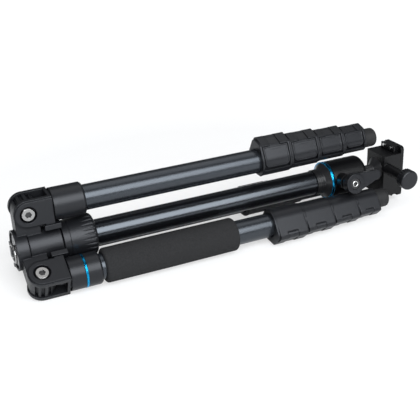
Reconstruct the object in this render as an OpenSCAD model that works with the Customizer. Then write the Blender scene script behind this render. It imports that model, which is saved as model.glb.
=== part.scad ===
// Five-section travel tripod, folded: its three legs are swung up round the
// centre column and the ball head, so that the feet lie beside the head.
// The column runs along X, with the hub at low X and the head at high X.

/* [Leg tubes] */
// Outside diameter of the widest leg tube
leg_tube_d = 25; // [23:0.5:26]
// Wall of each leg tube
leg_tube_wall = 1.2; // [1.0:0.1:1.4]
// Radial gap between two nested tubes
tube_gap = 0.3; // [0.2:0.05:0.4]
// Visible length of the widest tube, from its sleeve to its lock
top_tube_view = 183; // [150:1:200]

/* [Leg locks] */
// Length of the widest lock
lock_len = 34.3; // [33:0.1:36]
// Wall of the widest lock, outside its own tube
lock_wall = 4.4; // [4.0:0.1:4.6]
// Reach of the lock's shoulder past its tube
lock_shoulder = 12.1; // [11:0.1:13]
// Reach of the hinge ears past the tube
lock_ear_reach = 8.9; // [8.6:0.1:9.4]
// Thickness of the lever's paddle
paddle_t = 2.2; // [1.8:0.1:2.6]

/* [Leg hinge] */
// Distance from the hub's end face to the hinge pin
pin_from_end = 15.5; // [14.5:0.1:18]
// Width of the leg casting across its two cheeks
casting_w = 28.6; // [27:0.1:31]
// Radius of the cheeks round the hinge pin
cheek_r = 13.6; // [13:0.1:14]
// Width of the hub's tongue between the cheeks
tongue_w = 17.4; // [15:0.1:18]
// Radius of the hinge bolt's shank
pivot_r = 4; // [3:0.1:4.5]

/* [Centre column] */
// Outside diameter of the column tube
column_d = 26; // [24:0.5:27]
// Wall of the column tube
column_wall = 1.4; // [1.2:0.1:2]
// Column seen between the lock collar and the head
column_view = 249; // [220:1:260]
// Length of the lock collar
collar_len = 33; // [28:1:36]
// Largest radius of the lock collar
collar_r = 21.2; // [20:0.1:21.4]

/* [Head] */
// Radius of the head's housing
housing_r = 20; // [19:0.1:20.5]
// Radius of the ball
ball_r = 15.5; // [14.8:0.1:15.6]
// Distance from the ball's centre to the clamp's base
stem_reach = 31; // [30:0.5:34]
// Length of the clamp's jaws
clamp_len = 48; // [44:1:50]
// Width across the clamp's jaws
clamp_w = 32; // [30:0.5:33]
// Length of the camera plate
plate_len = 59; // [54:1:60]
// Radius of the clamp's knob
clamp_knob_r = 10.8; // [9.5:0.1:11]

/* [Grip] */
// Length of the foam grip
grip_len = 139; // [100:1:145]
// Radius of the foam grip
grip_r = 17.2; // [16:0.1:17.4]

/* [Hidden] */
$fn = 64;

// Turn of legs a, b and c round the column from straight up, and how much longer
// the widest tube of each is than that of the monopod leg
leg_turns = [120, 0, 240];
leg_extra = [0, 4.5, 4.5];
$extra = 0;

// Clearances: glued or pressed, turning on a pin, and between moving faces
fit = 0.05;
pin_fit = 0.06;
run = 0.3;
// Overrun of the cuts, and how far straight edges start inside the circles they join
over = 1;
sink = 0.05;

// Hub
hub_end_x = 8.5;
hub_flange_len = 11.5;
hub_flange_r = 19.8;
hub_r = 18.6;
hub_groove = 0.8;
hub_len = 43.5;
hub_mouth_r = 17.4;
hub_mouth_depth = 4.5;
collet_len = 23.5;
hub_r_end_x = hub_end_x + hub_len;
pin_x = hub_end_x + pin_from_end;

// Column
column_r = column_d / 2;
collet_wall = 3.5;
collet_r = column_r + collet_wall;
collar_gap = 1.2;
collar_x = hub_r_end_x + collar_gap;
collar_end_x = collar_x + collar_len;
collar_band = 6.5;
collar_flare = 1.9;
collar_start_r = collar_r - collar_flare;
collar_nose_r = 4.5;
collar_ribs = 28;
rib_cut_r = 1.2;
column_end_x = collar_end_x + column_view;

// Leg tubes: radius, start and end of each of the five, counted from 0
leg_tube_r = leg_tube_d / 2;
tube_step = leg_tube_wall + tube_gap;
function tube_r(i) = leg_tube_r - i * tube_step;
tube_seat_x = 50;
tube_stagger = 2;
function tube_x(i) = tube_seat_x + i * tube_stagger;

// Sleeve that holds the widest tube
sleeve_x = 48.3;
sleeve_len = 30.7;
sleeve_wall = 3.6;
sleeve_r = leg_tube_r + sleeve_wall;
sleeve_taper = 1.6;
sleeve_drop = 1.2;
sleeve_end_x = sleeve_x + sleeve_len;
casting_end_x = 47.5;
// Folded legs clear the lock collar by this
leg_clear = 1.9;
leg_offset = collar_r + leg_clear + sleeve_r;

// Locks, counted from 0 at the widest
lock_len_shares = [1, 0.99, 0.92, 0.81];
lock_gap = 0.4;
tube_in_lock_share = 0.65;
lock_x0 = sleeve_end_x + top_tube_view;
function lock_l(i) = lock_len * lock_len_shares[i];
function lock_x(i) = i == 0 ? lock_x0 + $extra : lock_x(i - 1) + lock_l(i - 1) + lock_gap;
function tube_end(i) = lock_x(i) + tube_in_lock_share * lock_l(i);
lock_wall_gain = 0.3;
shoulder_drop = 0.7;
ear_drop = 0.25;
shoulder_r0 = 5;
shoulder_r_drop = 0.5;
rim_shoulder_drop = 2;
crease_r = 4;
crease_turn = -22;
hinge_turn = 14;
swing_share = 0.73;
barrel_gap = 0.2;
window_gap = 0.15;
lock_pin_r = 1.25;
lock_thin = 1.8;
lock_flat = 1.6;
lock_rim = 2.2;
lock_body_drop = 0.4;
finger_gap_turn = 12;
paddle_end_turn = -101;
paddle_corner = 5;
paddle_gap = 0.8;
paddle_border = 1.3;
paddle_dish = 0.4;
neck_turn = 6;
neck_drop = 0.3;
window_share = 0.36;
function lock_r(i) = tube_r(i) + lock_wall + i * lock_wall_gain;
function shoulder_r(i) = shoulder_r0 - i * shoulder_r_drop;
function hinge_d(i) = tube_r(i) + lock_shoulder - i * shoulder_drop - shoulder_r(i);
function crease_d(i) = tube_r(i) + lock_ear_reach - i * ear_drop - crease_r;
// Radius round the hinge that the lock's cheeks keep inside, and the paddle outside
function swing_r(i) = swing_share * hinge_d(i);
function thin_r(i) = tube_r(i) + lock_thin;
function paddle_in(i) = thin_r(i) + run;
function paddle_out(i) = paddle_in(i) + paddle_t;
function paddle_mid(i) = paddle_in(i) + paddle_t / 2;
// Turn of the paddle's root, where the swing radius meets the paddle
function root_turn(i) = hinge_turn - acos((pow(paddle_mid(i), 2) + pow(hinge_d(i), 2) - pow(swing_r(i), 2))
  / (2 * paddle_mid(i) * hinge_d(i)));
// Point at a radius and a turn from straight outward, in a leg's cross-section
function at(r, turn) = [r * sin(turn), r * cos(turn)];

// Feet
function foot_x() = lock_x(3) + lock_l(3) + lock_gap;
foot_len = 16.4;
foot_wall = 3.7;
foot_r = tube_r(4) + foot_wall;
foot_round = 3;
foot_seat = 5;

// Grip and accent ring of the monopod leg
grip_gap = 4;
grip_x = sleeve_end_x + grip_gap;
grip_round = 2;
leg_ring_in = 14.2;
leg_ring_x = sleeve_x + leg_ring_in;
leg_ring_w = 2.2;
leg_ring_h = 0.25;
leg_ring_t = 1;

// Leg casting
cheek_in = tongue_w / 2 + run;
pocket_end_x = 44.5;
pocket_rib_x = 14;
pocket_rib_w = 1.8;
pocket_rib_h = 9;
cheek_step = 1.3;
floor_from_pin = 15;
floor_x = pin_x + floor_from_pin;
floor_t = 3;
bolt_head_r = 6.8;
bolt_head_h = 2.6;
bolt_rim_h = 1.6;
bolt_bevel = 0.95;
bolt_recess_r = 8;
bolt_recess_h = 3.1;
socket_r = 3.2;
socket_h = 1.6;
cap_nut_gap = 0.1;
pivot_turn_fit = 0.06;

// Tongue of the hub and its stop notches
tongue_inset = 1;
tongue_r = cheek_r - tongue_inset;
tongue_back = 10.4;
notch_turns = [71, 101, 128];
notch_w = 3.4;
notch_h = 2;

// Latch that drops into the notches
latch_from_pin = 13.2;
latch_x = pin_x + latch_from_pin;
latch_len = 15.6;
latch_t = 3.6;
latch_over = 0.8;
latch_tab_h = 5.2;
latch_tab_w = 4.2;
latch_tooth_w = 9;
latch_tooth_l = 4;
latch_tooth_h = 5.4;
latch_pull = 2.5;

// Column's end plug and its bail
plug_cap_r = 15.2;
plug_cap_t = 3;
plug_x = hub_end_x + hub_mouth_depth - run - plug_cap_t;
plug_len = 16;
hook_r = 1.1;
hook_half = 7.8;
hook_leg = 7.2;
hook_out = 2.9;
hook_x = plug_x - hook_out;
hook_eye_w = 4.4;
hook_eye_h = 10;
hook_eye_front = 1.9;

// Head
base_x = column_end_x;
base_neck_wall = 0.9;
base_neck_r = column_r + base_neck_wall;
base_neck_len = 9;
base_cone_len = 5;
base_inset = 0.8;
base_wide_r = housing_r - base_inset;
base_spigot_len = 18;
base_groove_w = 0.9;
base_groove_h = 0.6;
base_groove_pitch = 2.6;
base_groove_in = 1.04;
base_groove_x = base_x + base_groove_in;
base_grooves = 3;
pan_pin_r = 8;
pan_pin_len = 7;
head_ring_w = 3;
head_ring_h = 0.3;
head_ring_r = housing_r + head_ring_h;
ring_x = base_x + base_neck_len + base_cone_len;
housing_x = ring_x + head_ring_w + run;
housing_len = 42.9;
housing_end_x = housing_x + housing_len;
housing_chamfer = 1;
housing_round = 5;
ball_in = 8.2;
ball_x = housing_end_x - ball_in;
housing_floor_t = 5.2;
cavity_x = housing_x + housing_floor_t;
ball_gap = 0.5;
cavity_r = ball_r + ball_gap;
head_lever_turn = 12;
head_lever_in = 8.7;
head_lever_x = housing_x + head_lever_in;
head_boss_r = 8;
head_boss_top = 30;
head_lever_disc_r = 10.5;
head_lever_bottom = 37.5;
head_lever_top = 46;
head_lever_tip_r = 4.5;
head_lever_arm = 29;
head_lever_lean = 9;
head_lever_step = 1.6;
head_stem_r = 6.5;
head_screw_r = 3;
head_screw_end = 14.5;
lever_screw_r = 5.6;
lever_screw_h = 1.4;
lever_recess_h = 2;
cup_x = head_lever_x + head_screw_r + run;
cup_back = 7;
cup_end_x = ball_x - cup_back;
cup_r = cavity_r - run;

// Ball, stem and clamp
ball_flat = 14;
peg_r = 4;
peg_len = 12;
neck_r = 5.8;
neck_x = ball_x + ball_flat + run;
clamp_x = ball_x + stem_reach;
stem_cone_len = 6;
stem_wide_r = 13;
clamp_base_t = 15;
clamp_top_x = clamp_x + clamp_base_t;
jaw_h = 7;
dove_half = 11.7;
dove_cut = 2.2;
dove_waist = dove_half - dove_cut;
dove_low = 1.8;
dove_slope = dove_half - dove_waist;
jaw_split = dove_waist + run;
jaw_t = clamp_w / 2 - jaw_split;
clamp_z = -5;
plate_x = clamp_top_x + run;
plate_pad_x = clamp_top_x + jaw_h + run;
plate_pad_t = 3.9;
plate_end_x = plate_pad_x + plate_pad_t;
plate_top_z = 26.2;
plate_inset = 0.2;
plate_w = clamp_w - 2 * plate_inset;
plate_corner = 4;
stop_screw_r = 1.75;
stop_screw_h = 1.4;
stop_screw_y = 6;
stop_screw_inset = 2.4;
knob_from_clamp = 5;
knob_x = clamp_x + knob_from_clamp;
knob_z = 4;
knob_boss_r = 6;
knob_in = 45;
knob_len = 11.2;
knob_round = 1.8;
knob_flutes = 22;
knob_flute_r = 0.8;
clamp_screw_r = 2.5;
clamp_screw_depth = 12;
camera_screw_r = 3.175;
camera_screw_len = 5.5;
camera_head_r = 8;
camera_head_t = 2.4;
camera_slot_t = 0.8;
camera_neck_r = 2.6;

// The part's own frame: origin at the bottom centre of the folded tripod
low_x = hook_x - hook_eye_front;
high_x = plate_end_x + camera_screw_len;
mid_x = (low_x + high_x) / 2;
axis_z = (leg_offset + cheek_r) * sin(30) + casting_w / 2 * cos(30);

dark = [0.17, 0.17, 0.18];
darker = [0.10, 0.10, 0.11];
tube_black = [0.07, 0.075, 0.085];
steel = [0.75, 0.75, 0.76];
grey = [0.45, 0.45, 0.46];
cyan = [0.10, 0.65, 0.85];
foam = [0.16, 0.16, 0.165];

// Moves what is drawn round the column axis into the part's own frame
module placed() {
  translate([-mid_x, 0, axis_z]) children();
}

// Puts what is drawn round a leg's axis, outward up, onto leg k
module on_leg(k) {
  $extra = leg_extra[k];
  placed() rotate([leg_turns[k], 0, 0]) translate([0, 0, leg_offset]) children();
}

// Solid bar along X
module bar(x0, x1, r) {
  translate([x0, 0, 0]) rotate([0, 90, 0]) cylinder(h = x1 - x0, r = r);
}

// Cone along X
module taper(x0, x1, r0, r1) {
  translate([x0, 0, 0]) rotate([0, 90, 0]) cylinder(h = x1 - x0, r1 = r0, r2 = r1);
}

// Hollow tube along X
module pipe(x0, x1, r_out, r_in) {
  difference() {
    bar(x0, x1, r_out);
    bar(x0 - over, x1 + over, r_in);
  }
}

// Extrudes a drawing of Y and Z along X
module cross_section(x0, x1) {
  translate([x0, 0, 0]) rotate([90, 0, 90]) linear_extrude(height = x1 - x0) children();
}

// Extrudes a drawing of X and Z along Y
module side_view(y0, y1) {
  translate([0, y1, 0]) rotate([90, 0, 0]) linear_extrude(height = y1 - y0) children();
}

// Ring sector between two radii and two turns
module sector(r_in, r_out, turn0, turn1) {
  far = 2 * r_out;
  mid_turn = (turn0 + turn1) / 2;
  intersection() {
    difference() {
      circle(r = r_out);
      circle(r = r_in);
    }
    polygon([[0, 0], at(far, turn0), at(far, mid_turn), at(far, turn1)]);
  }
}

// Angle of the outer tangent from a circle to a second one
function tangent_turn(p, r1, q, r2) =
  atan2(q[1] - p[1], q[0] - p[0]) + acos((r1 - r2) / norm(q - p));
function tangent_from(p, r1, q, r2) =
  let (t = tangent_turn(p, r1, q, r2)) p + r1 * [cos(t), sin(t)];
function tangent_to(p, r1, q, r2) =
  let (t = tangent_turn(p, r1, q, r2)) q + r2 * [cos(t), sin(t)];

// Smooth outline round three circles, given clockwise
module belt(p, rp, q, rq, s, rs) {
  translate(p) circle(r = rp);
  translate(q) circle(r = rq);
  translate(s) circle(r = rs);
  bp = rp - sink;
  bq = rq - sink;
  bs = rs - sink;
  polygon([
    tangent_from(p, bp, q, bq), tangent_to(p, bp, q, bq), tangent_from(q, bq, s, bs),
    tangent_to(q, bq, s, bs), tangent_from(s, bs, p, bp), tangent_to(s, bs, p, bp), p
  ]);
}

// Outline round two circles, the second one at a distance along X
module teardrop(r1, r2, d) {
  circle(r = r1);
  translate([d, 0]) circle(r = r2);
  lean = acos((r1 - r2) / d);
  b1 = r1 - sink;
  b2 = r2 - sink;
  polygon([
    [b1 * cos(lean), b1 * sin(lean)], [d + b2 * cos(lean), b2 * sin(lean)],
    [d + b2 * cos(lean), -b2 * sin(lean)], [b1 * cos(lean), -b1 * sin(lean)]
  ]);
}

// Rectangle with round corners, from its lowest corner
module round_rect(w, h, r) {
  translate([r, 0]) square([w - 2 * r, h]);
  translate([0, r]) square([w, h - 2 * r]);
  for (x = [r, w - r], y = [r, h - r])
    translate([x, y]) circle(r = r);
}

// Hub with a tongue for each leg
module spider() {
  color(dark) placed() difference() {
    union() {
      bar(hub_end_x, hub_end_x + hub_flange_len, hub_flange_r);
      bar(hub_end_x, hub_r_end_x, hub_r - hub_groove);
      bar(hub_end_x + hub_flange_len + hub_groove, hub_r_end_x, hub_r);
      bar(hub_end_x, hub_r_end_x + collet_len, collet_r);
      for (turn = leg_turns)
        rotate([turn, 0, 0]) tongue();
    }
    bar(hub_end_x - over, hub_r_end_x + collet_len + over, column_r + run);
    bar(hub_end_x - over, hub_end_x + hub_mouth_depth, hub_mouth_r);
    for (turn = leg_turns)
      rotate([turn, 0, 0]) translate([pin_x, 0, leg_offset])
        rotate([90, 0, 0]) cylinder(h = casting_w, r = pivot_r + pivot_turn_fit, center = true);
  }
}

// One tongue, standing straight up from the column axis to its hinge
module tongue() {
  difference() {
    side_view(-tongue_w / 2, tongue_w / 2) {
      translate([pin_x, leg_offset]) circle(r = tongue_r);
      translate([pin_x - tongue_r, column_r + 2 * column_wall])
        square([tongue_r + tongue_back, leg_offset - column_r - 2 * column_wall]);
    }
    for (turn = notch_turns)
      translate([pin_x, 0, leg_offset]) rotate([0, -turn, 0])
        translate([tongue_r - notch_h, -tongue_w, -notch_w / 2])
          cube([cheek_r, 2 * tongue_w, notch_w]);
  }
}

// Hinge bolts: a socket head with its shank, and a cap nut at the far cheek
module pivot_bolts() {
  seat = casting_w / 2 - bolt_recess_h;
  color(steel) for (turn = leg_turns)
    placed() rotate([turn, 0, 0]) translate([pin_x, 0, leg_offset]) {
      difference() {
        union() {
          bolt_disc(-1);
          rotate([90, 0, 0]) translate([0, 0, -seat])
            cylinder(h = 2 * seat, r = pivot_r);
        }
        bolt_socket(-1);
      }
      difference() {
        bolt_disc(1);
        bolt_socket(1);
      }
    }
}

// Disc of a bolt head, seated in its recess on one side
module bolt_disc(side) {
  seat = casting_w / 2 - bolt_recess_h + cap_nut_gap;
  rotate([-90 * side, 0, 0]) translate([0, 0, seat]) {
    cylinder(h = bolt_rim_h, r = bolt_head_r);
    translate([0, 0, bolt_rim_h])
      cylinder(h = bolt_head_h - bolt_rim_h, r1 = bolt_head_r, r2 = bolt_head_r - bolt_bevel);
    if (side < 0)
      translate([0, 0, -cap_nut_gap]) cylinder(h = bolt_head_h, r = pivot_r);
  }
}

// Hexagon socket in a bolt head
module bolt_socket(side) {
  top = casting_w / 2 - bolt_recess_h + cap_nut_gap + bolt_head_h;
  rotate([-90 * side, 0, 0]) translate([0, 0, top - socket_h])
    cylinder(h = socket_h + over, r = socket_r, $fn = 6);
}

// Ribbed collar that locks the column when it is twisted
module column_lock_collar() {
  nose = [for (a = [0:15:90])
    [collar_r - collar_nose_r + collar_nose_r * cos(a),
     collar_len - collar_nose_r + collar_nose_r * sin(a)]];
  color(dark) placed() difference() {
    translate([collar_x, 0, 0]) rotate([0, 90, 0]) rotate_extrude()
      polygon(concat(
        [[column_r + run, 0], [collar_start_r, 0], [collar_start_r, collar_band],
         [collar_r - collar_nose_r / 3, collar_band]],
        nose, [[column_r + run, collar_len]]));
    bar(collar_x - over, hub_r_end_x + collet_len + run, collet_r + run);
    for (k = [0:collar_ribs - 1])
      rotate([k * 360 / collar_ribs, 0, 0])
        translate([collar_x + collar_band + 2 * rib_cut_r, 0, collar_r + rib_cut_r / 3])
          rotate([0, 90, 0]) cylinder(h = collar_len, r = rib_cut_r, $fn = 16);
  }
}

// Column tube
module column_tube() {
  color(tube_black) placed()
    pipe(plug_x + plug_cap_t, column_end_x, column_r, column_r - column_wall);
}

// Plug in the column's lower end, with the eye for the bail
module column_end_plug() {
  plug_end_x = plug_x + plug_cap_t + plug_len;
  color(grey) placed() difference() {
    union() {
      bar(plug_x, plug_x + plug_cap_t, plug_cap_r);
      bar(plug_x, plug_end_x, column_r - column_wall - fit);
      translate([hook_x - hook_eye_front, -hook_eye_w / 2, -hook_eye_h / 2])
        cube([plug_x - hook_x + hook_eye_front + over, hook_eye_w, hook_eye_h]);
    }
    translate([hook_x, 0, 0]) cylinder(h = 2 * hook_eye_h, r = hook_r + pin_fit, center = true);
  }
}

// Steel bail that a bag hangs from, folded flat towards low Y
module column_hook() {
  color(steel) placed() translate([hook_x, 0, 0]) {
    cylinder(h = 2 * hook_half, r = hook_r, center = true);
    for (side = [-1, 1])
      translate([0, 0, side * hook_half]) {
        rotate([90, 0, 0]) cylinder(h = hook_leg, r = hook_r);
        sphere(r = hook_r);
      }
    translate([0, -hook_leg, 0]) rotate([0, 90, 0]) rotate([0, 0, 180])
      rotate_extrude_half();
  }
}

// Half ring of the bail
module rotate_extrude_half() {
  rotate([0, 0, 180]) intersection() {
    rotate_extrude() translate([hook_half, 0]) circle(r = hook_r);
    translate([-2 * hook_half, -2 * hook_half, -2 * hook_r])
      cube([4 * hook_half, 2 * hook_half, 4 * hook_r]);
  }
}

// Base of the head, glued into the column
module head_base() {
  cone_x = base_x + base_neck_len;
  color(grey) placed() difference() {
    union() {
      bar(base_x - base_spigot_len, base_x + over, column_r - column_wall - fit);
      bar(base_x, cone_x, base_neck_r);
      taper(cone_x, ring_x, base_neck_r, base_wide_r);
      bar(ring_x - over, housing_x + pan_pin_len - 2 * run, pan_pin_r);
    }
    for (k = [0:base_grooves - 1])
      translate([k * base_groove_pitch, 0, 0])
        pipe(base_groove_x, base_groove_x + base_groove_w, base_neck_r + over, base_neck_r - base_groove_h);
  }
}

// Accent ring between the head's base and its housing
module head_accent_ring() {
  color(cyan) placed() pipe(ring_x, ring_x + head_ring_w, head_ring_r, pan_pin_r + fit);
}

// Housing that holds the ball
module head_housing() {
  color(dark) placed() difference() {
    union() {
      translate([housing_x, 0, 0]) rotate([0, 90, 0]) rotate_extrude()
        polygon(concat(
          [[0, 0], [housing_r - housing_chamfer, 0], [housing_r, housing_chamfer]],
          [for (a = [0:10:80]) [housing_r - housing_round + housing_round * cos(a),
            housing_len - housing_round + housing_round * sin(a)]],
          [[0, housing_len]]));
      rotate([90 - head_lever_turn, 0, 0]) translate([head_lever_x, 0, 0])
        cylinder(h = head_boss_top, r = head_boss_r);
    }
    bar(housing_x - over, housing_x + pan_pin_len, pan_pin_r + run);
    bar(cavity_x, ball_x, cavity_r);
    translate([ball_x, 0, 0]) sphere(r = ball_r + run);
    rotate([90 - head_lever_turn, 0, 0]) translate([head_lever_x, 0, head_screw_end])
      cylinder(h = head_boss_top, r = head_screw_r + pin_fit);
  }
}

// Lever that locks the ball
module head_lever() {
  color(dark) placed() rotate([90 - head_lever_turn, 0, 0]) translate([head_lever_x, 0, 0]) {
    difference() {
      union() {
        translate([0, 0, head_lever_bottom])
          cylinder(h = head_lever_top - head_lever_bottom, r = head_lever_disc_r);
        translate([0, 0, head_lever_bottom + head_lever_step]) rotate([0, 0, head_lever_lean])
          linear_extrude(height = head_lever_top - head_lever_bottom - 2 * head_lever_step)
            teardrop(head_lever_disc_r, head_lever_tip_r, head_lever_arm);
        translate([0, 0, head_boss_top + run])
          cylinder(h = head_lever_bottom - head_boss_top, r = head_stem_r);
        translate([0, 0, head_screw_end])
          cylinder(h = head_boss_top - head_screw_end + over, r = head_screw_r);
      }
      translate([0, 0, head_lever_top - lever_recess_h])
        cylinder(h = lever_recess_h + over, r = lever_screw_r + run);
    }
  }
}

// Screw in the lever's hub
module head_lever_screw() {
  seat = head_lever_top - lever_recess_h;
  color(steel) placed() rotate([90 - head_lever_turn, 0, 0]) translate([head_lever_x, 0, seat])
    difference() {
      cylinder(h = lever_screw_h, r = lever_screw_r);
      translate([0, 0, lever_screw_h / 3]) cylinder(h = lever_screw_h, r = socket_r, $fn = 6);
    }
}

// Cup that presses on the ball
module ball_cup() {
  color(steel) placed() difference() {
    bar(cup_x, cup_end_x, cup_r);
    translate([ball_x, 0, 0]) sphere(r = ball_r + run);
  }
}

// Ball, flat on top, with a socket for the stem's peg
module ball() {
  color(darker) placed() difference() {
    translate([ball_x, 0, 0]) sphere(r = ball_r);
    bar(ball_x + ball_flat, ball_x + 2 * ball_r, ball_r);
    bar(ball_x + ball_flat - peg_len - run, ball_x + 2 * ball_r, peg_r + pin_fit);
  }
}

// Stem between the ball and the clamp
module clamp_stem() {
  color(darker) placed() {
    bar(neck_x - peg_len, neck_x + over, peg_r);
    bar(neck_x, clamp_x - stem_cone_len, neck_r);
    taper(clamp_x - stem_cone_len, clamp_x, neck_r, stem_wide_r);
  }
}

// Fixed half of the clamp
module clamp_body() {
  half = clamp_w / 2;
  color(dark) placed() translate([0, 0, clamp_z - clamp_len / 2]) difference() {
    linear_extrude(height = clamp_len) polygon([
      [clamp_x, half], [clamp_x, -jaw_split], [clamp_top_x, -jaw_split],
      [clamp_top_x, dove_half + run], [clamp_top_x + dove_low + run, dove_half + run],
      [clamp_top_x + dove_low + run + dove_slope, dove_waist + run],
      [clamp_top_x + jaw_h, dove_waist + run], [clamp_top_x + jaw_h, half]
    ]);
    translate([knob_x, 0, knob_z - clamp_z + clamp_len / 2]) rotate([90, 0, 0])
      translate([0, 0, jaw_split - clamp_screw_depth - over])
        cylinder(h = clamp_screw_depth + 2 * over, r = clamp_screw_r + pin_fit);
  }
}

// Sliding jaw of the clamp, with the boss that its knob bears on
module clamp_jaw() {
  half = clamp_w / 2;
  color(dark) placed() difference() {
    union() {
      translate([0, 0, clamp_z - clamp_len / 2]) linear_extrude(height = clamp_len) polygon([
        [clamp_x, -half], [clamp_x, -jaw_split - run], [clamp_top_x, -jaw_split - run],
        [clamp_top_x, -dove_half - run], [clamp_top_x + dove_low + run, -dove_half - run],
        [clamp_top_x + dove_low + run + dove_slope, -dove_waist - run],
        [clamp_top_x + jaw_h, -dove_waist - run], [clamp_top_x + jaw_h, -half]
      ]);
      translate([knob_x, -half + jaw_t / 2, knob_z]) rotate([90, 0, 0])
        cylinder(h = knob_in - run - half + jaw_t / 2, r = knob_boss_r);
    }
    translate([knob_x, 0, knob_z]) rotate([90, 0, 0])
      cylinder(h = knob_in, r = clamp_screw_r + pin_fit);
  }
}

// Knob that turns the clamp's screw
module clamp_knob() {
  color(dark) placed() translate([knob_x, 0, knob_z]) rotate([90, 0, 0]) {
    translate([0, 0, jaw_split - clamp_screw_depth])
      cylinder(h = knob_in - jaw_split + clamp_screw_depth + over, r = clamp_screw_r);
    difference() {
      translate([0, 0, knob_in]) rotate_extrude() polygon(concat(
        [[0, 0], [clamp_knob_r - knob_round, 0], [clamp_knob_r, knob_round]],
        [for (a = [0:15:90]) [clamp_knob_r - knob_round + knob_round * cos(a),
          knob_len - knob_round + knob_round * sin(a)]],
        [[0, knob_len]]));
      for (k = [0:knob_flutes - 1])
        rotate([0, 0, k * 360 / knob_flutes])
          translate([clamp_knob_r + knob_flute_r / 3, 0, knob_in - over])
            cylinder(h = knob_len - 2 * knob_round, r = knob_flute_r, $fn = 16);
    }
  }
}

// Camera plate with its dovetail and two stop screws
module quick_plate() {
  z0 = plate_top_z - plate_len;
  color(dark) placed() {
    difference() {
      union() {
        translate([0, 0, z0]) linear_extrude(height = plate_len) polygon([
          [plate_x, -dove_half], [plate_x, dove_half], [plate_x + dove_low, dove_half],
          [plate_x + dove_low + dove_slope, dove_waist], [plate_pad_x + over, dove_waist],
          [plate_pad_x + over, -dove_waist], [plate_x + dove_low + dove_slope, -dove_waist],
          [plate_x + dove_low, -dove_half]
        ]);
        translate([plate_pad_x, 0, 0]) rotate([90, 0, 90]) linear_extrude(height = plate_pad_t)
          translate([-plate_w / 2, z0]) round_rect(plate_w, plate_len, plate_corner);
      }
      bar(plate_x - over, plate_x + camera_head_t + 2 * run, camera_head_r + run);
      bar(plate_x - over, plate_end_x + over, camera_screw_r + run);
    }
    for (side = [-1, 1])
      translate([0, side * stop_screw_y, plate_top_z - stop_screw_inset])
        bar(plate_x - stop_screw_h, plate_x, stop_screw_r);
  }
}

// Camera screw, captive in the plate
module plate_screw() {
  head_x = plate_x + run;
  color(steel) placed() difference() {
    union() {
      bar(head_x, head_x + camera_head_t, camera_head_r);
      bar(head_x, plate_end_x + run + over, camera_neck_r);
      bar(plate_end_x + run, plate_end_x + camera_screw_len, camera_screw_r);
    }
    translate([head_x - over, -camera_head_r, -camera_slot_t])
      cube([over + camera_slot_t, 2 * camera_head_r, 2 * camera_slot_t]);
  }
}

// Outline of a cheek seen from its side, set in all round by an inset
module cheek_outline(inset) {
  translate([pin_x, 0]) circle(r = cheek_r - inset);
  translate([pin_x, -cheek_r + inset]) square([casting_end_x - pin_x, 2 * (cheek_r - inset)]);
}

// Casting that hinges on the hub and holds the widest tube
module casting() {
  color(dark) difference() {
    union() {
      for (y0 = [-casting_w / 2 + cheek_step, cheek_in])
        side_view(y0, y0 + casting_w / 2 - cheek_in - cheek_step) cheek_outline(0);
      for (y0 = [-casting_w / 2, casting_w / 2 - 2 * cheek_step])
        side_view(y0, y0 + 2 * cheek_step) cheek_outline(cheek_step);
      translate([pocket_end_x, -casting_w / 2 + cheek_step, -cheek_r])
        cube([casting_end_x - pocket_end_x, casting_w - 2 * cheek_step, 2 * cheek_r]);
      translate([pin_x + pocket_rib_x, -pocket_rib_w / 2, -cheek_r])
        cube([pocket_end_x - pin_x - pocket_rib_x + over, pocket_rib_w, cheek_r + pocket_rib_h]);
      translate([floor_x, -casting_w / 2, -cheek_r])
        cube([casting_end_x - floor_x, casting_w, floor_t]);
      bar(casting_end_x - over, sleeve_x + over, cheek_r);
      bar(sleeve_x, sleeve_end_x - sleeve_taper, sleeve_r);
      taper(sleeve_end_x - sleeve_taper, sleeve_end_x, sleeve_r, sleeve_r - sleeve_drop);
    }
    bar(tube_seat_x - fit, sleeve_end_x + over, leg_tube_r + fit);
    translate([pin_x, 0, 0]) rotate([90, 0, 0]) {
      cylinder(h = 2 * casting_w, r = pivot_r + pivot_turn_fit, center = true);
      for (side = [-1, 1])
        translate([0, 0, side * casting_w / 2])
          cylinder(h = 2 * bolt_recess_h, r = bolt_recess_r, center = true);
    }
    translate([latch_x - run, -latch_tooth_w / 2 - run, -2 * cheek_r])
      cube([latch_tooth_l + latch_pull + 2 * run, latch_tooth_w + 2 * run, 2 * cheek_r]);
    translate([latch_x, -casting_w, -2 * cheek_r])
      cube([latch_len + latch_pull + run, 2 * casting_w, cheek_r]);
  }
}

// Casting of leg k, with a groove for the accent ring on the monopod leg
module leg_casting(k) {
  if (k == 0)
    difference() {
      casting();
      pipe(leg_ring_x, leg_ring_x + leg_ring_w, sleeve_r + over, sleeve_r + leg_ring_h - leg_ring_t - fit);
    }
  else
    casting();
}

// Latch with a finger tab at each side and a tooth for the hub's notches
module latch() {
  top = -cheek_r - run;
  half = casting_w / 2 + latch_over;
  color(dark) {
    translate([latch_x, -half, top - latch_t]) cube([latch_len, 2 * half, latch_t]);
    for (side = [-1, 1])
      translate([latch_x, side * (half - latch_tab_w / 2) - latch_tab_w / 2, top - latch_tab_h])
        cube([latch_len, latch_tab_w, latch_tab_h]);
    translate([latch_x, -latch_tooth_w / 2, top - latch_t / 2])
      cube([latch_tooth_l, latch_tooth_w, latch_tooth_h + latch_t / 2]);
  }
}

// Leg tube i
module leg_tube(i, x1) {
  color(tube_black) pipe(tube_x(i), x1, tube_r(i), tube_r(i) - leg_tube_wall);
}

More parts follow.
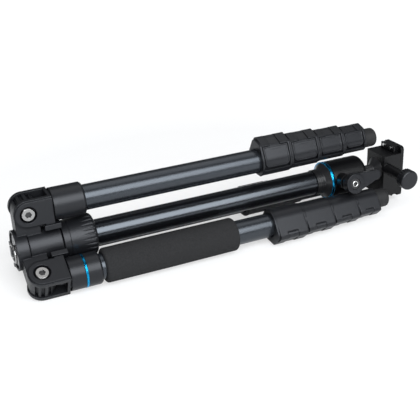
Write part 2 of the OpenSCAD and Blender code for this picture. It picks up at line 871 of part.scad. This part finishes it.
// Outline of lock i, with the shoulder that holds its hinge and the crease beside the paddle
module lock_outline(i, body_drop, top_drop) {
  intersection() {
    belt([0, 0], lock_r(i) - body_drop, at(crease_d(i), crease_turn), crease_r,
         at(hinge_d(i) - top_drop, hinge_turn), shoulder_r(i));
    translate([-2 * lock_r(i), -tube_r(i) - lock_flat])
      square([4 * lock_r(i), 4 * lock_r(i)]);
  }
}

// Collar of lock i: glued over tube i, it clamps the next tube
module lock_collar(i) {
  x0 = lock_x(i);
  x1 = x0 + lock_l(i);
  far = 3 * lock_r(i);
  window = window_share * lock_l(i);
  window_x = (x0 + x1 - window) / 2;
  hinge = at(hinge_d(i), hinge_turn);
  color(dark) difference() {
    union() {
      cross_section(x0, x0 + lock_rim) lock_outline(i, 0, rim_shoulder_drop);
      cross_section(x0 + lock_rim, x1) lock_outline(i, lock_body_drop, 0);
    }
    bar(x0 - over, tube_end(i) + fit, tube_r(i) + fit);
    bar(x0 - over, x1 + over, tube_r(i + 1) + run);
    cross_section(x0 + lock_rim, x1 - lock_rim) difference() {
      sector(thin_r(i), far, hinge_turn, paddle_end_turn - finger_gap_turn);
      translate(hinge) circle(r = swing_r(i));
    }
    cross_section(window_x, window_x + window) {
      translate(hinge) circle(r = shoulder_r(i) + window_gap);
      sector(thin_r(i), far, hinge_turn, root_turn(i) - neck_turn);
    }
    translate([0, hinge[0], hinge[1]]) bar(x0 + lock_rim, x1 + over, lock_pin_r + fit);
  }
  color(steel) translate([0, hinge[0], hinge[1]])
    bar(x0 + lock_rim + run, x1 - run, lock_pin_r);
}

// Outline of lever i, from its barrel round the ears to its paddle, set in by an inset
module lever_outline(i, inset) {
  belt([0, 0], paddle_out(i) - inset, at(crease_d(i), crease_turn), crease_r - run - inset,
       at(hinge_d(i), hinge_turn), shoulder_r(i) - run - inset);
}

// Outline of a paddle seen square on: X along the leg, round at its free corners
module paddle_outline(i, inset) {
  len = lock_l(i) - 2 * lock_rim - 2 * paddle_gap;
  free = paddle_out(i) * sin((root_turn(i) - paddle_end_turn) / 2) + fit;
  x0 = lock_x(i) + lock_rim + paddle_gap;
  translate([x0 + inset, -free + inset])
    round_rect(len - 2 * inset, 4 * free, paddle_corner - inset);
}

// Lever i: a paddle round the lock, on a barrel between the hinge ears
module lock_lever(i) {
  mid_turn = (root_turn(i) + paddle_end_turn) / 2;
  window = window_share * lock_l(i) - 2 * run;
  window_x = lock_x(i) + (lock_l(i) - window) / 2;
  hinge = at(hinge_d(i), hinge_turn);
  far = 3 * lock_r(i);
  x0 = lock_x(i) + lock_rim + paddle_gap;
  x1 = lock_x(i) + lock_l(i) - lock_rim - paddle_gap;
  color(dark) difference() {
    union() {
      difference() {
        intersection() {
          cross_section(x0, x1) difference() {
            intersection() {
              lever_outline(i, 0);
              sector(paddle_in(i), far, hinge_turn, paddle_end_turn);
            }
            translate(hinge) circle(r = swing_r(i) + run);
          }
          rotate([-mid_turn, 0, 0]) linear_extrude(height = far) paddle_outline(i, 0);
        }
        intersection() {
          cross_section(x0, x1) difference() {
            sector(paddle_in(i), far, root_turn(i), paddle_end_turn);
            lever_outline(i, paddle_dish);
          }
          rotate([-mid_turn, 0, 0]) linear_extrude(height = far)
            paddle_outline(i, paddle_border);
        }
      }
      cross_section(window_x, window_x + window) {
        translate(hinge) circle(r = shoulder_r(i) - barrel_gap);
        intersection() {
          lever_outline(i, neck_drop);
          sector(paddle_in(i) + sink, far, hinge_turn, root_turn(i) - neck_turn);
        }
      }
    }
    translate([0, hinge[0], hinge[1]]) bar(x0, x1, lock_pin_r + pin_fit);
  }
}

// Rubber foot, closed at its end
module foot() {
  color(darker) difference() {
    translate([foot_x(), 0, 0]) rotate([0, 90, 0]) rotate_extrude() polygon(concat(
      [[0, 0], [foot_r, 0]],
      [for (a = [0:15:90]) [foot_r - foot_round + foot_round * cos(a),
        foot_len - foot_round + foot_round * sin(a)]],
      [[0, foot_len]]));
    bar(foot_x() - over, foot_x() + foot_seat, tube_r(4) + fit);
  }
}

// Foam grip of the monopod leg
module grip() {
  color(foam) difference() {
    translate([grip_x, 0, 0]) rotate([0, 90, 0]) rotate_extrude() polygon(concat(
      [[0, 0]],
      [for (a = [-90:15:0]) [grip_r - grip_round + grip_round * cos(a),
        grip_round + grip_round * sin(a)]],
      [for (a = [0:15:90]) [grip_r - grip_round + grip_round * cos(a),
        grip_len - grip_round + grip_round * sin(a)]],
      [[0, grip_len]]));
    bar(grip_x - over, grip_x + grip_len + over, leg_tube_r + fit);
  }
}

// Accent ring in the monopod leg's sleeve
module leg_ring() {
  color(cyan)
    pipe(leg_ring_x + fit, leg_ring_x + leg_ring_w - fit, sleeve_r + leg_ring_h,
         sleeve_r + leg_ring_h - leg_ring_t);
}

// Section i of a leg with the lock collar that is glued over its end
module leg_section(i) {
  leg_tube(i, tube_end(i));
  lock_collar(i);
}

spider();
pivot_bolts();
column_lock_collar();
column_tube();
column_end_plug();
column_hook();
head_base();
head_accent_ring();
head_housing();
head_lever();
head_lever_screw();
ball_cup();
ball();
clamp_stem();
clamp_body();
clamp_jaw();
clamp_knob();
quick_plate();
plate_screw();
on_leg(0) grip();  // leg_a_grip
on_leg(0) leg_ring();  // leg_a_accent_ring
on_leg(0) leg_casting(0);  // leg_a_casting
on_leg(0) latch();  // leg_a_latch
on_leg(0) leg_tube(0, tube_end(0));  // leg_a_top_tube
on_leg(0) lock_collar(0);  // leg_a_lock_1
on_leg(0) leg_section(1);  // leg_a_section_2
on_leg(0) leg_section(2);  // leg_a_section_3
on_leg(0) leg_section(3);  // leg_a_section_4
on_leg(0) leg_tube(4, foot_x() + foot_seat);  // leg_a_section_5
on_leg(0) foot();  // leg_a_foot
on_leg(0) lock_lever(0);  // leg_a_lever_1
on_leg(0) lock_lever(1);  // leg_a_lever_2
on_leg(0) lock_lever(2);  // leg_a_lever_3
on_leg(0) lock_lever(3);  // leg_a_lever_4
on_leg(1) leg_casting(1);  // leg_b_casting
on_leg(1) latch();  // leg_b_latch
on_leg(1) leg_tube(0, tube_end(0));  // leg_b_top_tube
on_leg(1) lock_collar(0);  // leg_b_lock_1
on_leg(1) leg_section(1);  // leg_b_section_2
on_leg(1) leg_section(2);  // leg_b_section_3
on_leg(1) leg_section(3);  // leg_b_section_4
on_leg(1) leg_tube(4, foot_x() + foot_seat);  // leg_b_section_5
on_leg(1) foot();  // leg_b_foot
on_leg(1) lock_lever(0);  // leg_b_lever_1
on_leg(1) lock_lever(1);  // leg_b_lever_2
on_leg(1) lock_lever(2);  // leg_b_lever_3
on_leg(1) lock_lever(3);  // leg_b_lever_4
on_leg(2) leg_casting(2);  // leg_c_casting
on_leg(2) latch();  // leg_c_latch
on_leg(2) leg_tube(0, tube_end(0));  // leg_c_top_tube
on_leg(2) lock_collar(0);  // leg_c_lock_1
on_leg(2) leg_section(1);  // leg_c_section_2
on_leg(2) leg_section(2);  // leg_c_section_3
on_leg(2) leg_section(3);  // leg_c_section_4
on_leg(2) leg_tube(4, foot_x() + foot_seat);  // leg_c_section_5
on_leg(2) foot();  // leg_c_foot
on_leg(2) lock_lever(0);  // leg_c_lever_1
on_leg(2) lock_lever(1);  // leg_c_lever_2
on_leg(2) lock_lever(2);  // leg_c_lever_3
on_leg(2) lock_lever(3);  // leg_c_lever_4
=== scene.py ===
import math

import bpy
from mathutils import Matrix, Vector


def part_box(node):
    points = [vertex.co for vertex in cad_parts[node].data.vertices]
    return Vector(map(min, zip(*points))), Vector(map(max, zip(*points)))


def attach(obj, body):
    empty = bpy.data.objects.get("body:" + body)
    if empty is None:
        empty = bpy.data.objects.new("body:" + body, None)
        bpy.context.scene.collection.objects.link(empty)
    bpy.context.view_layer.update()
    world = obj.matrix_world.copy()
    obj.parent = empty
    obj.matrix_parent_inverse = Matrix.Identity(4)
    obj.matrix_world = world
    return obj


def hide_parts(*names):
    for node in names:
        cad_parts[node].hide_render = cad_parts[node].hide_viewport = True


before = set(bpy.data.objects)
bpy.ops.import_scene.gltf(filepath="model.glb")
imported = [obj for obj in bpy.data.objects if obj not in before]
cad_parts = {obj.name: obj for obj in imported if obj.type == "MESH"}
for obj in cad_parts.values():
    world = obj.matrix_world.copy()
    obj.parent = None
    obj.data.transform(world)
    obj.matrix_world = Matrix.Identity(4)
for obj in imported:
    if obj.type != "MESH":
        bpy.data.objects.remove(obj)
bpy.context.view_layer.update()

MM = 0.001

# The row frame's origin as seen from the column axis, in mm
MID_X = 227.4
AXIS_Z = 38.784

# The legs' turns about the column, in degrees, and how far out they lie, in mm
LEG_TURNS = {"a": 120.0, "b": 0.0, "c": 240.0}
LEG_OFFSET = 39.2

# Camera fitted to the photo, in the column's frame, in mm and degrees
CAM_AT = (-93.7, -689.5, 342.5)
CAM_AZ = -23.9
CAM_EL = 24.7
CAM_ROLL = -2.5
CAM_FOCAL_PX = 799.4
PHOTO_PX = 420
SENSOR = 36.0
CLIP_START = 0.05
CLIP_END = 50


def row(x, y, z):
    """A point of the column's frame, in mm, in the row frame, in metres."""
    return Vector(((x - MID_X) * MM, y * MM, (z + AXIS_Z) * MM))


def leg_point(leg, x, y, z):
    """A point of a leg's own frame, in mm, outward along Z, in the row frame."""
    t = math.radians(LEG_TURNS[leg])
    c, s = math.cos(t), math.sin(t)
    out = z + LEG_OFFSET
    return row(x, y * c - out * s, y * s + out * c)


# Materials
def new_material(name):
    mat = bpy.data.materials.new(name)
    mat.use_nodes = True
    return mat, mat.node_tree, mat.node_tree.nodes["Principled BSDF"]


def noise_node(tree, scale, detail):
    """Noise in the object's own coordinates."""
    coord = tree.nodes.new("ShaderNodeTexCoord")
    noise = tree.nodes.new("ShaderNodeTexNoise")
    noise.inputs["Scale"].default_value = scale
    noise.inputs["Detail"].default_value = detail
    tree.links.new(coord.outputs["Object"], noise.inputs["Vector"])
    return noise


def bump_node(tree, noise, strength, distance):
    bump = tree.nodes.new("ShaderNodeBump")
    bump.inputs["Strength"].default_value = strength
    bump.inputs["Distance"].default_value = distance
    tree.links.new(noise.outputs["Fac"], bump.inputs["Height"])
    return bump


GRAIN_SCALE = 1500.0
GRAIN_DETAIL = 3.0
GRAIN_DEPTH = 0.0002
NODE_SAMPLES = 6
# Ambient occlusion levels between which the painted shade in slots and seams goes from full to none
SLOT_DARK = 0.35
SLOT_OPEN = 0.9


def principled(name, color, rough, metal=0.0, spec=0.5, edge=0.0, grain=0.0, tint=None, painted_shade_reach=0.0):
    """Principled material; edge rounds sharp corners in the shading, grain is a fine bump.

    Within the shade reach, in metres, of other surfaces, in slots and seams, an ambient occlusion mask
    turns its specular down: painted shade."""
    mat, tree, bsdf = new_material(name)
    bsdf.inputs["Base Color"].default_value = (*color, 1)
    bsdf.inputs["Roughness"].default_value = rough
    bsdf.inputs["Metallic"].default_value = metal
    bsdf.inputs["Specular IOR Level"].default_value = spec
    if tint:
        bsdf.inputs["Specular Tint"].default_value = (*tint, 1)
    normal = None
    if edge:
        bevel = tree.nodes.new("ShaderNodeBevel")
        bevel.samples = NODE_SAMPLES
        bevel.inputs["Radius"].default_value = edge
        normal = bevel.outputs["Normal"]
    if grain:
        bump = bump_node(tree, noise_node(tree, GRAIN_SCALE, GRAIN_DETAIL), grain, GRAIN_DEPTH)
        if normal:
            tree.links.new(normal, bump.inputs["Normal"])
        normal = bump.outputs["Normal"]
    if normal:
        tree.links.new(normal, bsdf.inputs["Normal"])
    # Painted shade: the specular is turned down where other surfaces lie near
    if painted_shade_reach:
        near = tree.nodes.new("ShaderNodeAmbientOcclusion")
        near.samples = NODE_SAMPLES
        near.inputs["Distance"].default_value = painted_shade_reach
        fade = tree.nodes.new("ShaderNodeMapRange")
        fade.inputs["From Min"].default_value = SLOT_DARK
        fade.inputs["From Max"].default_value = SLOT_OPEN
        fade.inputs["To Min"].default_value = 0.0
        fade.inputs["To Max"].default_value = spec
        tree.links.new(near.outputs["AO"], fade.inputs["Value"])
        tree.links.new(fade.outputs["Result"], bsdf.inputs["Specular IOR Level"])
    return mat


FOAM_DARK = (0.012, 0.012, 0.0125, 1)
FOAM_LIGHT = (0.026, 0.026, 0.027, 1)
FOAM_STOPS = (0.3, 0.7)
FOAM_ROUGH = 0.95
FOAM_SPEC = 0.15
FOAM_SCALE = 900.0
FOAM_DETAIL = 6.0
FOAM_NOISE_ROUGH = 0.75
FOAM_BUMP = 0.35
FOAM_DEPTH = 0.0004


def foam_material():
    """Dark open foam with a speckled colour and a fine bump."""
    mat, tree, bsdf = new_material("foam")
    bsdf.inputs["Roughness"].default_value = FOAM_ROUGH
    bsdf.inputs["Specular IOR Level"].default_value = FOAM_SPEC
    noise = noise_node(tree, FOAM_SCALE, FOAM_DETAIL)
    noise.inputs["Roughness"].default_value = FOAM_NOISE_ROUGH
    ramp = tree.nodes.new("ShaderNodeValToRGB")
    dark, light = ramp.color_ramp.elements
    dark.color = FOAM_DARK
    light.color = FOAM_LIGHT
    dark.position, light.position = FOAM_STOPS
    tree.links.new(noise.outputs["Fac"], ramp.inputs["Fac"])
    tree.links.new(ramp.outputs["Color"], bsdf.inputs["Base Color"])
    bump = bump_node(tree, noise, FOAM_BUMP, FOAM_DEPTH)
    tree.links.new(bump.outputs["Normal"], bsdf.inputs["Normal"])
    return mat


PLASTIC_TINT = (0.93, 0.95, 1.0)
TUBE_TINT = (0.82, 0.90, 1.0)

PLASTIC = principled("plastic", (0.0065, 0.0068, 0.0080), 0.37, spec=0.36, edge=0.0012, grain=0.10,
                     tint=PLASTIC_TINT, painted_shade_reach=0.004)
SMOOTH_PLASTIC = principled("smooth_plastic", (0.006, 0.0063, 0.0075), 0.33, spec=0.40,
                            edge=0.0010, tint=PLASTIC_TINT, painted_shade_reach=0.004)
TUBE = principled("tube", (0.004, 0.0042, 0.005), 0.18, spec=0.9, edge=0.003, tint=TUBE_TINT)
LEG_TUBE = principled("leg_tube", (0.008, 0.009, 0.011), 0.26, spec=0.75, edge=0.003, tint=TUBE_TINT)
FOAM = foam_material()
RUBBER = principled("rubber", (0.010, 0.010, 0.0105), 0.6, spec=0.35, edge=0.0008, grain=0.2)
CYAN = principled("cyan", (0.012, 0.34, 0.66), 0.2, metal=1.0, edge=0.003)
STEEL = principled("steel", (0.36, 0.355, 0.35), 0.22, metal=1.0, edge=0.0003)
BRIGHT_STEEL = principled("bright_steel", (0.75, 0.75, 0.74), 0.2, metal=1.0)
GREY = principled("grey_metal", (0.20, 0.20, 0.205), 0.3, metal=0.9, edge=0.0004)
BLACK = principled("black_metal", (0.012, 0.012, 0.013), 0.28, spec=0.6, edge=0.0004)
CLAMP = principled("clamp_metal", (0.003, 0.003, 0.0035), 0.34, spec=0.28, edge=0.0008, grain=0.1)

LOOKS = {
    "spider": PLASTIC, "pivot_bolts": STEEL, "column_lock_collar": PLASTIC, "column_tube": TUBE,
    "column_end_plug": GREY, "column_hook": STEEL, "head_base": BLACK, "head_accent_ring": CYAN,
    "head_housing": CLAMP, "head_lever": SMOOTH_PLASTIC, "head_lever_screw": BLACK,
    "ball_cup": GREY, "ball": BLACK, "clamp_stem": BLACK, "clamp_body": CLAMP,
    "clamp_jaw": CLAMP, "clamp_knob": SMOOTH_PLASTIC, "quick_plate": CLAMP, "plate_screw": STEEL,
    "leg_a_grip": FOAM, "leg_a_accent_ring": CYAN,
}
LEG_LOOKS = {"casting": PLASTIC, "latch": SMOOTH_PLASTIC, "top_tube": LEG_TUBE, "lock_1": PLASTIC,
             "section_5": LEG_TUBE, "foot": RUBBER}


def look_of(node):
    if node in LOOKS:
        return LOOKS[node]
    part = node[len("leg_a_"):]
    if part in LEG_LOOKS:
        return LEG_LOOKS[part]
    return SMOOTH_PLASTIC if part.startswith("lever") else PLASTIC


for name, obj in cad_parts.items():
    obj.data.materials.clear()
    obj.data.materials.append(look_of(name))


def finish_faces(node, material, chosen):
    """Gives a node's faces a second finish where chosen(corners) says so."""
    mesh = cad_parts[node].data
    mesh.materials.append(material)
    for poly in mesh.polygons:
        if chosen([mesh.vertices[v].co for v in poly.vertices]):
            poly.material_index = 1


# Where the lock collars begin, and how far a section's own tube reaches from the leg's axis, in mm
LOCKS_X = 262
TUBE_REACH = {2: 11.02, 3: 9.52, 4: 8.02}


def section_tube(leg, i):
    """The tubes of sections 2 to 4 are anodised; their lock collars are plastic."""
    axis = leg_point(leg, 0, 0, 0)
    start = row(LOCKS_X, 0, 0).x
    reach = TUBE_REACH[i] * MM

    def on_the_tube(corners):
        far = max(math.hypot(c.y - axis.y, c.z - axis.z) for c in corners)
        return far < reach and min(c.x for c in corners) < start

    finish_faces(f"leg_{leg}_section_{i}", LEG_TUBE, on_the_tube)


# Where the hinge bolts lie along the column, and how far their sockets reach, in mm
BOLT_X = 24.0
SOCKET_REACH = 3.3


def in_a_shaded_socket(corners):
    """Says whether a face lies in the hexagon socket of one of the hinge bolts; these faces get black
    metal as painted shade.
    """
    for leg in "abc":
        axis = leg_point(leg, BOLT_X, 0, 0)
        out = (axis - row(BOLT_X, 0, 0)).normalized()
        if all(math.hypot(c.x - axis.x, (c - axis).dot(out)) < SOCKET_REACH * MM for c in corners):
            return True
    return False


# The stop screws of the camera plate, in mm
STOP_SCREW_Y = 6.0
STOP_SCREW_Z = 23.8
STOP_SCREW_R = 1.9


def on_a_stop_screw(corners):
    """Says whether a face belongs to one of the plate's two stop screws."""
    for side in (-1, 1):
        at = row(0, side * STOP_SCREW_Y, STOP_SCREW_Z)
        if all(math.hypot(c.y - at.y, c.z - at.z) < STOP_SCREW_R * MM for c in corners):
            return True
    return False


for leg in "abc":
    for i in TUBE_REACH:
        section_tube(leg, i)
# Painted shade: the hinge bolts' hexagon sockets are made black metal
finish_faces("pivot_bolts", BLACK, in_a_shaded_socket)
finish_faces("quick_plate", BRIGHT_STEEL, on_a_stop_screw)


# Pieces made here
def revolved(name, outline, start, way, material, steps):
    """Turns an outline of (along, radius) points, in mm, about the axis from start along way."""
    spin = Vector(way).to_track_quat("Z", "Y").to_matrix()
    verts = []
    for k in range(steps):
        t = 2 * math.pi * k / steps
        verts += [start + spin @ Vector((r * math.cos(t), r * math.sin(t), a)) * MM for a, r in outline]
    n = len(outline)
    faces = []
    for k in range(steps):
        m = (k + 1) % steps
        for i in range(n):
            j = (i + 1) % n
            faces.append((k * n + i, m * n + i, m * n + j, k * n + j))
    mesh = bpy.data.meshes.new(name)
    mesh.from_pydata(verts, [], faces)
    mesh.update()
    mesh.shade_smooth()
    obj = bpy.data.objects.new(name, mesh)
    bpy.context.scene.collection.objects.link(obj)
    obj.data.materials.append(material)
    return obj


ARC_STEPS = 8


def arc(along, radius, size, first, last):
    """Points of an arc round (along, radius), in mm and degrees."""
    turns = [math.radians(first + (last - first) * k / ARC_STEPS) for k in range(ARC_STEPS + 1)]
    return [(along + size * math.sin(t), radius + size * math.cos(t)) for t in turns]


# The foam grip's rounded ends, its crown and its bore, in mm
GRIP_ROUND = 3.0
GRIP_CROWN = 0.15
GRIP_BORE_R = 12.6
GRIP_STEPS = 96


def foam_grip():
    """Foam sleeve of leg a, with soft ends."""
    low, high = (Vector(p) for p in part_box("leg_a_grip"))
    length = (high.x - low.x) / MM
    edge_r = (high.z - low.z) / 2 / MM - GRIP_CROWN
    outline = [(0, GRIP_BORE_R)]
    outline += arc(GRIP_ROUND, edge_r - GRIP_ROUND, GRIP_ROUND, -90, 0)
    outline += [(length / 2, edge_r + GRIP_CROWN)]
    outline += arc(length - GRIP_ROUND, edge_r - GRIP_ROUND, GRIP_ROUND, 0, 90)
    outline += [(length, GRIP_BORE_R)]
    start = Vector((low.x, (low.y + high.y) / 2, (low.z + high.z) / 2))
    grip = revolved("foam_grip", outline, start, (1, 0, 0), FOAM, GRIP_STEPS)
    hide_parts("leg_a_grip")
    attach(grip, "leg_a")


# The lever hub's turn about the row's X axis, in degrees, and its ring, in mm
LEVER_HUB_TURN = 12.0
HUB_FACE = 0.7
RING_R = 2.2
RING_W = 1.0
RING_H = 0.5
RING_STEPS = 64


def hub_ring():
    """Bright ring on the dark disc in the hub of the head's lever."""
    low, high = (Vector(p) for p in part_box("head_lever_screw"))
    turn = math.radians(LEVER_HUB_TURN)
    way = Vector((0, -math.cos(turn), math.sin(turn)))
    face = (low + high) / 2 + way * HUB_FACE * MM
    outline = [(-RING_H / 2, RING_R), (-RING_H / 2, RING_R + RING_W),
               (RING_H / 2, RING_R + RING_W), (RING_H / 2, RING_R)]
    ring = revolved("lever_hub_ring", outline, face, way, BRIGHT_STEEL, RING_STEPS)
    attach(ring, "lock_lever")


foam_grip()
hub_ring()

# Floor, backdrop and lights
FLOOR_SIZE = 16
FLOOR_COLOR = 0.86
FLOOR_ROUGH = 0.9
FADE_FROM = 0.35
FADE_TO = 0.6
SHADOW_FILL = 0.5
WHITE_LEVEL = 1.12
ROOM_COLOR = (0.9, 0.95, 1.0, 1)
ROOM_LEVEL = 0.12


def floor_material():
    """White floor whose shadows are light, and which is plain white to the camera further off."""
    mat, tree, bsdf = new_material("floor")
    bsdf.inputs["Base Color"].default_value = (FLOOR_COLOR, FLOOR_COLOR, FLOOR_COLOR, 1)
    bsdf.inputs["Roughness"].default_value = FLOOR_ROUGH
    bsdf.inputs["Specular IOR Level"].default_value = 0.0
    coord = tree.nodes.new("ShaderNodeTexCoord")
    far = tree.nodes.new("ShaderNodeVectorMath")
    far.operation = "LENGTH"
    tree.links.new(coord.outputs["Object"], far.inputs[0])
    fade = tree.nodes.new("ShaderNodeMapRange")
    fade.inputs["From Min"].default_value = FADE_FROM
    fade.inputs["From Max"].default_value = FADE_TO
    fade.inputs["To Min"].default_value = SHADOW_FILL
    tree.links.new(far.outputs["Value"], fade.inputs["Value"])
    seen = tree.nodes.new("ShaderNodeLightPath")
    both = tree.nodes.new("ShaderNodeMath")
    both.operation = "MULTIPLY"
    tree.links.new(fade.outputs["Result"], both.inputs[0])
    tree.links.new(seen.outputs["Is Camera Ray"], both.inputs[1])
    white = tree.nodes.new("ShaderNodeEmission")
    white.inputs["Strength"].default_value = WHITE_LEVEL
    mix = tree.nodes.new("ShaderNodeMixShader")
    tree.links.new(both.outputs["Value"], mix.inputs["Fac"])
    tree.links.new(bsdf.outputs["BSDF"], mix.inputs[1])
    tree.links.new(white.outputs["Emission"], mix.inputs[2])
    tree.links.new(mix.outputs["Shader"], tree.nodes["Material Output"].inputs["Surface"])
    return mat


bpy.ops.mesh.primitive_plane_add(size=FLOOR_SIZE, location=(0, 0, 0))
floor = bpy.context.object
floor.name = "floor"
floor.data.materials.append(floor_material())


def studio_world():
    """White behind the object, and a dim room all round for everything but the camera."""
    world = bpy.data.worlds.new("studio")
    bpy.context.scene.world = world
    world.use_nodes = True
    tree = world.node_tree
    white = tree.nodes["Background"]
    white.inputs["Color"].default_value = (1, 1, 1, 1)
    white.inputs["Strength"].default_value = 1.0
    dim = tree.nodes.new("ShaderNodeBackground")
    dim.inputs["Color"].default_value = ROOM_COLOR
    dim.inputs["Strength"].default_value = ROOM_LEVEL
    path = tree.nodes.new("ShaderNodeLightPath")
    mix = tree.nodes.new("ShaderNodeMixShader")
    tree.links.new(path.outputs["Is Camera Ray"], mix.inputs["Fac"])
    tree.links.new(dim.outputs["Background"], mix.inputs[1])
    tree.links.new(white.outputs["Background"], mix.inputs[2])
    tree.links.new(mix.outputs["Shader"], tree.nodes["World Output"].inputs["Surface"])


# Each softbox has its place, its width and height, all in metres, its power in watts and its colour
LIGHT_AIM = (0, 0, 0.05)
SOFTBOXES = {
    "key": ((-0.2, -1.5, 1.15), 2.6, 1.5, 76, (0.95, 0.975, 1.0)),
    "top": ((0.1, 0.5, 1.9), 2.4, 1.6, 12, (1, 1, 1)),
}


def softbox(name, at, width, height, power, color):
    data = bpy.data.lights.new(name, "AREA")
    data.shape = "RECTANGLE"
    data.size = width
    data.size_y = height
    data.energy = power
    data.color = color
    obj = bpy.data.objects.new(name, data)
    bpy.context.scene.collection.objects.link(obj)
    obj.location = at
    way = Vector(LIGHT_AIM) - Vector(at)
    obj.rotation_euler = way.to_track_quat("-Z", "Y").to_euler()


studio_world()
for name, values in SOFTBOXES.items():
    softbox(name, *values)


# Camera at the angle of the photo
def photo_camera():
    az, el, roll = (math.radians(v) for v in (CAM_AZ, CAM_EL, CAM_ROLL))
    back = Vector((math.sin(az) * math.cos(el), -math.cos(az) * math.cos(el), math.sin(el)))
    right = Vector((0, 0, 1)).cross(back).normalized()
    up = back.cross(right)
    axes = (math.cos(roll) * right + math.sin(roll) * up,
            -math.sin(roll) * right + math.cos(roll) * up, back)
    camera = bpy.data.objects.new("camera", bpy.data.cameras.new("camera"))
    bpy.context.scene.collection.objects.link(camera)
    camera.matrix_world = Matrix.Translation(row(*CAM_AT)) @ Matrix(axes).transposed().to_4x4()
    camera.data.sensor_width = SENSOR
    camera.data.lens = CAM_FOCAL_PX / PHOTO_PX * SENSOR
    camera.data.clip_start = CLIP_START
    camera.data.clip_end = CLIP_END
    bpy.context.scene.camera = camera


photo_camera()
bpy.context.scene.view_settings.view_transform = "Standard"
